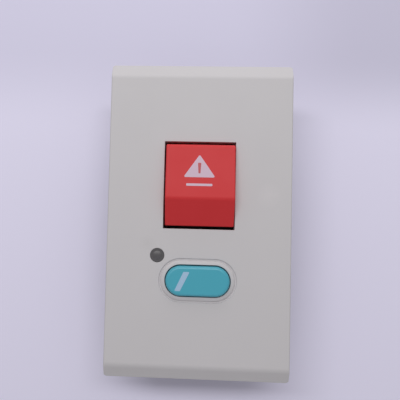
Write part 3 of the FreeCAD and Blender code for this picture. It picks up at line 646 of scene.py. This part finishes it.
def threaded_shank(tree, given):
    """A shank below the head, with a ridge of thread wound round it."""
    root = value(tree, "SUBTRACT", given["Shank Radius"], given["Thread Depth"])
    end = value(tree, "MULTIPLY", value(tree, "ADD", given["Head Height"], given["Shank Length"]), -1.0)
    shank = moved(tree, cone_mesh(tree, root, root, given["Shank Length"], SHANK_SIDES), vector(tree, z=end))
    turns = value(tree, "SUBTRACT", value(tree, "DIVIDE", given["Shank Length"], given["Thread Pitch"]), 1.0)
    rise = value(tree, "MULTIPLY", turns, given["Thread Pitch"])
    thread = helix_tube(tree, root, given["Thread Depth"], turns, rise, THREAD_SIDES)
    start = value(tree, "ADD", end, value(tree, "MULTIPLY", given["Thread Pitch"], 0.5))
    return shank, moved(tree, thread, vector(tree, z=start))


def screw_tree():
    """A small screw whose head faces +z at z = 0: domed head, cross recess, shank and thread."""
    sizes = ("Head Radius", "Neck Radius", "Head Height", "Dome", "Shank Radius", "Shank Length",
             "Thread Pitch", "Thread Depth", "Recess Length", "Recess Width", "Recess Depth")
    tree, source, sink = geometry_tree("small_screw", sizes)
    given = source.outputs
    head = mesh_cut(tree, domed_head(tree, given), *cross_arms(tree, given))
    screw = gathered(tree, head, *threaded_shank(tree, given))
    tree.links.new(repeated(tree, source, screw), sink.inputs["Geometry"])
    return tree


def clamp_plate_tree():
    """A terminal's plate whose face is z = 0: a screw hole and low ridges on each side of it."""
    sizes = ("Width", "Height", "Thickness", "Hole Radius", "Ridge Height", "Ridge Pitch")
    tree, source, sink = geometry_tree("clamp_plate", sizes)
    given = source.outputs
    top = value(tree, "MULTIPLY", given["Ridge Height"], -1.0)
    slab_height = value(tree, "SUBTRACT", given["Thickness"], given["Ridge Height"])
    middle = value(tree, "SUBTRACT", top, value(tree, "MULTIPLY", slab_height, 0.5))
    slab = moved(tree, box_mesh(tree, given["Width"], given["Height"], slab_height), vector(tree, z=middle))
    through = value(tree, "MULTIPLY", given["Thickness"], 3.0)
    bore = cone_mesh(tree, given["Hole Radius"], given["Hole Radius"], through, BORE_SIDES)
    bore = moved(tree, bore, vector(tree, z=value(tree, "MULTIPLY", given["Thickness"], -2.0)))
    ridge_length = value(tree, "MULTIPLY", given["Width"], RIDGE_LENGTH_SHARE)
    ridge_breadth = value(tree, "MULTIPLY", given["Ridge Pitch"], RIDGE_BREADTH_SHARE)
    ridge = box_mesh(tree, ridge_length, ridge_breadth, given["Ridge Height"])
    half = value(tree, "MULTIPLY", given["Height"], 0.5)
    ridges = []
    for side in (-1, 1):
        for i in range(RIDGES_A_SIDE):
            inset = value(tree, "MULTIPLY", given["Ridge Pitch"], i + FIRST_RIDGE_SHARE)
            place = value(tree, "MULTIPLY", value(tree, "SUBTRACT", half, inset), side)
            ridges.append(moved(tree, ridge, vector(tree, y=place, z=value(tree, "MULTIPLY", top, 0.5))))
    plate = gathered(tree, mesh_cut(tree, slab, bore), *ridges)
    tree.links.new(repeated(tree, source, plate), sink.inputs["Geometry"])
    return tree


def marked_faces(tree, geometry, name):
    """Stores a true value by this name on the geometry's faces."""
    node = tree.nodes.new("GeometryNodeStoreNamedAttribute")
    node.data_type = "BOOLEAN"
    node.domain = "FACE"
    node.inputs["Name"].default_value = name
    node.inputs["Value"].default_value = True
    tree.links.new(geometry, node.inputs["Geometry"])
    return node.outputs["Geometry"]


def face_mark(tree, name):
    """Reads back what marked_faces stored."""
    node = tree.nodes.new("GeometryNodeInputNamedAttribute")
    node.data_type = "BOOLEAN"
    node.inputs["Name"].default_value = name
    return node.outputs["Attribute"]


def chip_resistor_tree():
    """A small resistor whose top is z = 0: a dark body between two bright end caps."""
    sizes, materials = ("Length", "Width", "Height"), ("Material", "Cap Material")
    tree, source, sink = geometry_tree("chip_resistor", sizes, materials)
    given = source.outputs
    shares = (("Length", BODY_PLAN_SHARE), ("Width", BODY_PLAN_SHARE), ("Height", BODY_HEIGHT_SHARE))
    body = box_mesh(tree, *[value(tree, "MULTIPLY", given[name], share) for name, share in shares])
    middle = value(tree, "MULTIPLY", given["Height"], -0.5)
    body = moved(tree, body, vector(tree, z=middle))
    cap_length = value(tree, "MULTIPLY", given["Length"], CAP_SHARE)
    cap = box_mesh(tree, cap_length, given["Width"], given["Height"])
    caps = []
    for side in (-1, 1):
        place = value(tree, "MULTIPLY", given["Length"], side * (1.0 - CAP_SHARE) / 2)
        caps.append(moved(tree, cap, vector(tree, x=place, z=middle)))
    chip = gathered(tree, body, marked_faces(tree, gathered(tree, *caps), "is_cap"))
    chips = repeated(tree, source, chip)
    capped = painted(tree, chips, given["Cap Material"], face_mark(tree, "is_cap"))
    tree.links.new(capped, sink.inputs["Geometry"])
    return tree


def coil_tree():
    """A round-wire compression spring whose top is z = 0."""
    tree, source, sink = geometry_tree("coil", ("Coil Radius", "Wire Radius", "Turns", "Height"))
    given = source.outputs
    rise = value(tree, "SUBTRACT", given["Height"], value(tree, "MULTIPLY", given["Wire Radius"], 2.0))
    wire = helix_tube(tree, given["Coil Radius"], given["Wire Radius"], given["Turns"], rise, WIRE_SIDES)
    drop = value(tree, "SUBTRACT", given["Wire Radius"], given["Height"])
    tree.links.new(repeated(tree, source, moved(tree, wire, vector(tree, z=drop))), sink.inputs["Geometry"])
    return tree


def grown(name, places, tree, sizes, edge_width):
    """A plain mesh that a geometry tree makes at these places; sizes are its inputs by name."""
    bm = bmesh.new()
    for place in places:
        bm.verts.new(place)
    piece = object_from(name, bm)
    growth = piece.modifiers.new("growth", "NODES")
    growth.node_group = tree
    for socket in tree.interface.items_tree:
        if socket.in_out == "INPUT" and socket.name in sizes:
            growth[socket.identifier] = sizes[socket.name]
    break_edges(piece, edge_width, GROWN_EDGE_ANGLE_DEG)
    made_plain(piece)
    mesh = piece.data
    if mesh.materials[0] is None:
        mesh.materials.pop(index=0)
    mesh.shade_smooth()
    mesh.set_sharp_from_angle(angle=math.radians(SHARP_ANGLE_DEG))
    return piece


def node_spots(node):
    """The boxes, each as (lowest corner, highest corner), of the separate solids in a construction piece."""
    bm = bmesh.new()
    bm.from_mesh(frame["nodes"][node].data)
    bmesh.ops.remove_doubles(bm, verts=bm.verts, dist=MERGE_DISTANCE)
    unseen = set(bm.verts)
    spots = []
    while unseen:
        rim = [unseen.pop()]
        solid = list(rim)
        while rim:
            for edge in rim.pop().link_edges:
                for vertex in edge.verts:
                    if vertex in unseen:
                        unseen.discard(vertex)
                        rim.append(vertex)
                        solid.append(vertex)
        spots.append((Vector([min(v.co[k] for v in solid) for k in range(3)]),
                      Vector([max(v.co[k] for v in solid) for k in range(3)])))
    bm.free()
    return sorted(spots, key=lambda spot: (spot[0].x, spot[0].z))


def back_centres(spots):
    """The middle of each box's face towards the wall."""
    return [((low.x + high.x) / 2, high.y, (low.z + high.z) / 2) for low, high in spots]


def arc(centre, radius, start_deg, end_deg, steps):
    """Points along an arc in a profile of (distance from the axis, y); 0 degrees is away from the axis."""
    angles = [math.radians(start_deg + (end_deg - start_deg) * k / steps) for k in range(steps + 1)]
    return [(centre[0] + radius * math.cos(a), centre[1] - radius * math.sin(a)) for a in angles]


def turned(name, profile, centre):
    """A closed round piece about the y axis through centre; its profile starts and ends on the axis."""
    bm = bmesh.new()
    x, z = centre
    rings = []
    turns = [math.tau * k / TURNED_SIDES for k in range(TURNED_SIDES)]
    for distance, y in profile[1:-1]:
        ring = [(x + distance * math.cos(turn), y, z + distance * math.sin(turn)) for turn in turns]
        rings.append([bm.verts.new(point) for point in ring])
    poles = [bm.verts.new((x, profile[k][1], z)) for k in (0, -1)]
    for k in range(TURNED_SIDES):
        after = (k + 1) % TURNED_SIDES
        for ring, following in zip(rings, rings[1:]):
            bm.faces.new((ring[k], ring[after], following[after], following[k]))
        bm.faces.new((poles[0], rings[0][after], rings[0][k]))
        bm.faces.new((poles[1], rings[-1][k], rings[-1][after]))
    bmesh.ops.recalc_face_normals(bm, faces=bm.faces)
    piece = object_from(name, bm)
    piece.data.shade_smooth()
    piece.data.set_sharp_from_angle(angle=math.radians(SHARP_ANGLE_DEG))
    return piece


def make_window():
    """The smoked window: flange behind the cover, and a small lens in a dished ring in front."""
    low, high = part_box("led_window")
    flange_radius = (high.x - low.x) / 2
    flange_front = high.y - WINDOW_FLANGE_DEPTH
    face = low.y + WINDOW_DOME
    rim = arc((WINDOW_STEM_RADIUS - WINDOW_RIM, face + WINDOW_RIM), WINDOW_RIM, 0, 90, RIM_STEPS)
    dish_y = face + WINDOW_DISH
    dish = [(WINDOW_LENS_RADIUS + WINDOW_LENS_EDGE, dish_y), (WINDOW_LENS_RADIUS, dish_y)]
    rise = WINDOW_DOME + WINDOW_DISH - WINDOW_LENS_EDGE
    lens_ball = (WINDOW_LENS_RADIUS ** 2 + rise ** 2) / (2 * rise)
    lens_angle = math.degrees(math.acos(WINDOW_LENS_RADIUS / lens_ball))
    lens = arc((0.0, low.y + lens_ball), lens_ball, lens_angle, 90, LENS_STEPS)
    profile = [(0.0, high.y), (flange_radius, high.y), (flange_radius, flange_front),
               (WINDOW_STEM_RADIUS, flange_front), *rim, *dish, *lens]
    piece = turned("lamp_window", profile, ((low.x + high.x) / 2, (low.z + high.z) / 2))
    piece.data.materials.append(finishes[slot_of["led_window"]])
    stand_for(piece, "led_window")


def make_screws():
    """Threaded screws in the places of the construction's plain ones."""
    tree = screw_tree()
    for node, name, own_sizes in (("housing_screws", "housing_screws_threaded", COUNTERSUNK_SIZES),
                                  ("terminal_screws", "terminal_screws_threaded", DOMED_SIZES)):
        spots = node_spots(node)
        low, high = spots[0]
        sizes = {key: size * MM for key, size in {**RECESS_SIZES, **own_sizes}.items()}
        sizes["Head Radius"] = (high.x - low.x) / 2
        sizes["Shank Length"] = (high.y - low.y) - sizes["Head Height"]
        sizes["Material"] = finishes["screw_steel"]
        stand_for(grown(name, back_centres(spots), tree, sizes, SCREW_EDGE), node)


def make_clamp_plates():
    """Ridged plates with a hole in the places of the construction's plain ones."""
    spots = node_spots("terminal_plates")
    low, high = spots[0]
    sizes = {"Width": high.x - low.x, "Height": high.z - low.z, "Thickness": high.y - low.y,
             "Hole Radius": CLAMP_HOLE_RADIUS, "Ridge Height": RIDGE_HEIGHT, "Ridge Pitch": RIDGE_PITCH,
             "Material": finishes["terminal_brass"]}
    plates = grown("clamp_plates", back_centres(spots), clamp_plate_tree(), sizes, CLAMP_PLATE_EDGE)
    stand_for(plates, "terminal_plates")


def make_chip_resistors():
    """Capped resistors in the places of the construction's plain ones."""
    spots = node_spots("resistors")
    low, high = spots[0]
    sizes = {"Length": high.x - low.x, "Width": high.z - low.z, "Height": high.y - low.y,
             "Material": finishes["resistor_ceramic"], "Cap Material": finishes["spring_steel"]}
    chips = grown("chip_resistors", back_centres(spots), chip_resistor_tree(), sizes, RESISTOR_EDGE)
    stand_for(chips, "resistors")


def make_springs():
    """The coil under the button and the strip under the paddle."""
    low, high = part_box("cancel_spring")
    height = high.y - low.y
    sizes = {"Coil Radius": (high.x - low.x) / 2 - COIL_WIRE_RADIUS, "Wire Radius": COIL_WIRE_RADIUS,
             "Turns": COIL_TURNS, "Height": height, "Material": finishes["spring_steel"]}
    place = (0.0, high.y, (low.z + high.z) / 2)
    coil = stand_for(grown("button_coil", [place], coil_tree(), sizes, COIL_EDGE), "cancel_spring")
    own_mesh(coil)
    strip = stand_for(refined("paddle_spring", "paddle_strip", STRIP_EDGE), "paddle_spring")
    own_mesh(strip)


def make_camera():
    data = bpy.data.cameras.new("camera")
    data.sensor_width = SENSOR_WIDTH
    data.lens = CAMERA_LENS
    data.shift_x = CAMERA_SHIFT
    data.clip_start = CAMERA_CLIP
    camera = new_object("camera", data)
    turn = (Matrix.Rotation(math.radians(90), 4, "X") @ Matrix.Rotation(math.radians(CAMERA_YAW_DEG), 4, "Y")
            @ Matrix.Rotation(math.radians(CAMERA_TILT_DEG), 4, "X")
            @ Matrix.Rotation(math.radians(CAMERA_ROLL_DEG), 4, "Z"))
    camera.matrix_world = Matrix.Translation(CAMERA_PLACE) @ turn
    bpy.context.scene.camera = camera


def faded(tree, along, start, end):
    """A smooth step from 0 at start to 1 at end."""
    step = tree.nodes.new("ShaderNodeMapRange")
    step.interpolation_type = "SMOOTHSTEP"
    step.inputs["From Min"].default_value = start
    step.inputs["From Max"].default_value = end
    tree.links.new(along, step.inputs["Value"])
    return step.outputs["Result"]


def stage_colour_with_painted_light(tree):
    """Pale lilac with painted light that makes it lighter from the middle down, and painted shade that makes
    it a little darker at the upper right.
    """
    axes = tree.nodes.new("ShaderNodeSeparateXYZ")
    tree.links.new(object_place(tree), axes.inputs["Vector"])
    across, up = axes.outputs["X"], axes.outputs["Z"]
    # painted light: the backdrop's colour is made lighter from the middle down
    painted_light_tint = blended(tree, faded(tree, up, *STAGE_PAINTED_LIGHT_Z), (*STAGE_COLOUR, 1.0), (*STAGE_PAINTED_LIGHT_COLOUR, 1.0))
    # painted shade: the backdrop's colour is made darker towards the upper right corner
    corner = value(tree, "MULTIPLY", faded(tree, across, *STAGE_PAINTED_SHADE_X), faded(tree, up, *STAGE_PAINTED_SHADE_Z))
    shade = value(tree, "SUBTRACT", 1.0, value(tree, "MULTIPLY", corner, STAGE_PAINTED_CORNER_SHADE))
    scaled = tree.nodes.new("ShaderNodeVectorMath")
    scaled.operation = "SCALE"
    tree.links.new(painted_light_tint, scaled.inputs[0])
    tree.links.new(shade, scaled.inputs["Scale"])
    return scaled.outputs["Vector"]


def shown(tree, share, first, second):
    """The first shader, with this share of the second."""
    mix = tree.nodes.new("ShaderNodeMixShader")
    tree.links.new(share, mix.inputs["Fac"])
    tree.links.new(first.outputs[0], mix.inputs[1])
    tree.links.new(second.outputs[0], mix.inputs[2])
    return mix.outputs[0]


def stage_material():
    """Pale matt surface that shows from its front only and lets other light through.

    Metal mirrors it too, but not from so near that the dark gap behind the housing would show in the screws.
    """
    material = bpy.data.materials.new("pale_stage")
    material.use_nodes = True
    tree = material.node_tree
    tree.nodes.clear()
    out = tree.nodes.new("ShaderNodeOutputMaterial")
    matt = tree.nodes.new("ShaderNodeBsdfDiffuse")
    tree.links.new(stage_colour_with_painted_light(tree), matt.inputs["Color"])
    clear = tree.nodes.new("ShaderNodeBsdfTransparent")
    side = tree.nodes.new("ShaderNodeNewGeometry")
    path = tree.nodes.new("ShaderNodeLightPath")
    mirrored = value(tree, "MAXIMUM", path.outputs["Is Glossy Ray"], path.outputs["Is Transmission Ray"])
    far = value(tree, "GREATER_THAN", path.outputs["Ray Length"], MIRROR_REACH)
    seen = value(tree, "MAXIMUM", path.outputs["Is Camera Ray"], value(tree, "MULTIPLY", mirrored, far))
    front = value(tree, "SUBTRACT", seen, side.outputs["Backfacing"], clamped=True)
    tree.links.new(shown(tree, front, clear, matt), out.inputs["Surface"])
    return material


def stage_sheet(name, corners, material):
    """A flat surface of the stage."""
    mesh = bpy.data.meshes.new(name)
    mesh.from_pydata(corners, [], [tuple(range(len(corners)))])
    mesh.materials.append(material)
    sheet = new_object(name, mesh)


def make_stage():
    material = stage_material()
    half, floor_z = BACKDROP_HALF, -FLOOR_DROP
    back = cad_box[1].y + BACKDROP_GAP
    square = ((-half, -half), (half, -half), (half, half), (-half, half))
    stage_sheet("backdrop", [(x, back, z) for x, z in square], material)
    stage_sheet("floor", [(x, y, floor_z) for x, y in square], material)


def softbox(name, elevation_deg, distance, width, height, power, azimuth_deg=0.0):
    """An oblong lamp that points at the station's centre; azimuth turns it from the front to the right."""
    data = bpy.data.lights.new(name, "AREA")
    data.shape = "RECTANGLE"
    data.size = width
    data.size_y = height
    data.energy = power
    lamp = new_object(name, data)
    angle, side = math.radians(elevation_deg), math.radians(azimuth_deg)
    level = math.cos(angle)
    place = Vector((level * math.sin(side), -level * math.cos(side), math.sin(angle))) * distance
    lamp.location = place
    lamp.rotation_euler = (-place).to_track_quat("-Z", "Y").to_euler()


def make_world():
    """Even light all round; the camera sees it as a pale lilac."""
    scene = bpy.context.scene
    scene.view_settings.view_transform = "Standard"
    world = bpy.data.worlds.new("studio")
    scene.world = world
    world.use_nodes = True
    tree = world.node_tree
    light = tree.nodes["Background"]
    light.inputs["Color"].default_value = (*WORLD_COLOUR, 1.0)
    light.inputs["Strength"].default_value = WORLD_STRENGTH
    seen = tree.nodes.new("ShaderNodeBackground")
    seen.inputs["Color"].default_value = (*WORLD_SEEN, 1.0)
    path = tree.nodes.new("ShaderNodeLightPath")
    background = shown(tree, path.outputs["Is Camera Ray"], light, seen)
    tree.links.new(background, tree.nodes["World Output"].inputs["Surface"])


def make_lamps():
    softbox("key_softbox", KEY_ELEVATION_DEG, KEY_DISTANCE, KEY_WIDTH, KEY_HEIGHT, KEY_POWER,
            KEY_AZIMUTH_DEG)
    softbox("overhead_softbox", OVERHEAD_ELEVATION_DEG, OVERHEAD_DISTANCE, OVERHEAD_WIDTH, OVERHEAD_WIDTH,
            OVERHEAD_POWER)
    softbox("rear_softbox", REAR_ELEVATION_DEG, REAR_DISTANCE, REAR_WIDTH, REAR_WIDTH, REAR_POWER,
            REAR_AZIMUTH_DEG)


def rounded_outline(corners, radius):
    """A closed outline whose corners are arcs; corners are (x, z) in order round the shape."""
    points = []
    count = len(corners)
    for i, corner in enumerate(corners):
        here = Vector(corner)
        before = (Vector(corners[i - 1]) - here).normalized()
        after = (Vector(corners[(i + 1) % count]) - here).normalized()
        half = before.angle(after) / 2
        centre = here + (before + after).normalized() * radius / math.sin(half)
        start = here + before * radius / math.tan(half) - centre
        end = here + after * radius / math.tan(half) - centre
        for k in range(CORNER_STEPS + 1):
            points.append(centre + start.slerp(end, k / CORNER_STEPS).normalized() * radius)
    return points


def four_sided(base, top):
    """The corners of a shape with level base and top, each given as (left x, right x, z)."""
    return [(base[0], base[2]), (base[1], base[2]), (top[1], top[2]), (top[0], top[2])]


def ink_shape(name, outline, surface_y, material, body):
    """A thin layer of ink on a face; surface_y gives the face's y at a height z."""
    bm = bmesh.new()
    low = [bm.verts.new((p[0], surface_y(p[1]) + INK_SINK, p[1])) for p in outline]
    top = [bm.verts.new((p[0], surface_y(p[1]) - INK_THICKNESS, p[1])) for p in outline]
    count = len(outline)
    bm.faces.new(top)
    bm.faces.new(list(reversed(low)))
    for i in range(count):
        j = (i + 1) % count
        bm.faces.new((low[i], low[j], top[j], top[i]))
    bmesh.ops.recalc_face_normals(bm, faces=bm.faces)
    piece = object_from(name, bm)
    piece.data.materials.append(material)
    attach(piece, body)
    return piece


def paddle_face_y():
    """The y of the paddle's upper face at a height z, read from the construction piece."""
    least, most = UPPER_FACE_LEAN
    faces = [face for face in frame["nodes"]["call_paddle"].data.polygons
             if face.normal.y < FRONT_FACING_Y and least < face.normal.z < most]
    upper = max(faces, key=lambda face: face.area)
    normal, point = upper.normal.copy(), upper.center.copy()
    return lambda z: point.y - (z - point.z) * normal.z / normal.y


def make_paddle_print():
    """A triangle, its bar on top of it, and a thin line below."""
    white = moulded("white_ink", (0.63, 0.46, 0.57), (0.59, 0.43, 0.535), 0.45, grain_size=0.3,
                    grain_depth=0.003)
    red = moulded("red_ink", (0.50, 0.05, 0.06), (0.44, 0.04, 0.05), 0.4, grain_size=0.3, grain_depth=0.003)
    face = paddle_face_y()
    x = SYMBOL_X
    triangle = [(x - SYMBOL_HALF_WIDTH, SYMBOL_BASE_Z), (x + SYMBOL_HALF_WIDTH, SYMBOL_BASE_Z),
                (x, SYMBOL_TOP_Z)]
    ink_shape("call_symbol", rounded_outline(triangle, SYMBOL_CORNER), face, white, "call_paddle")
    bar = four_sided((x - BAR_BASE_HALF, x + BAR_BASE_HALF, BAR_BASE_Z),
                     (x - BAR_TOP_HALF, x + BAR_TOP_HALF, BAR_TOP_Z))
    ink_shape("call_symbol_bar", rounded_outline(bar, BAR_CORNER), lambda z: face(z) - INK_THICKNESS, red,
              "call_paddle")
    line = four_sided((x - LINE_HALF_WIDTH, x + LINE_HALF_WIDTH, LINE_Z - LINE_HALF_HEIGHT),
                      (x - LINE_HALF_WIDTH, x + LINE_HALF_WIDTH, LINE_Z + LINE_HALF_HEIGHT))
    ink_shape("call_line", rounded_outline(line, LINE_CORNER), face, white, "call_paddle")


def make_button_print():
    """A slanted stripe."""
    pale = moulded("pale_blue_ink", (0.395, 0.565, 0.755), (0.36, 0.53, 0.71), 0.45, grain_size=0.3,
                   grain_depth=0.003)
    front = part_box("cancel_button")[0].y
    stripe = rounded_outline(four_sided(STRIPE_BASE, STRIPE_TOP), STRIPE_CORNER)
    ink_shape("cancel_stripe", stripe, lambda z: front, pale, "cancel_button")


def dress_nodes():
    """Main pieces get broken edges; the inner ones keep their form and get their finish."""
    for node, (name, edge_width) in SHELL_EDGES.items():
        stand_for(refined(node, name, edge_width), node)
    for node, piece in frame["nodes"].items():
        piece.data.materials.clear()
        piece.data.materials.append(finishes[slot_of[node]])


make_camera()
make_stage()
make_world()
make_lamps()
dress_nodes()
make_window()
make_screws()
make_clamp_plates()
make_chip_resistors()
make_springs()
make_paddle_print()
make_button_print()
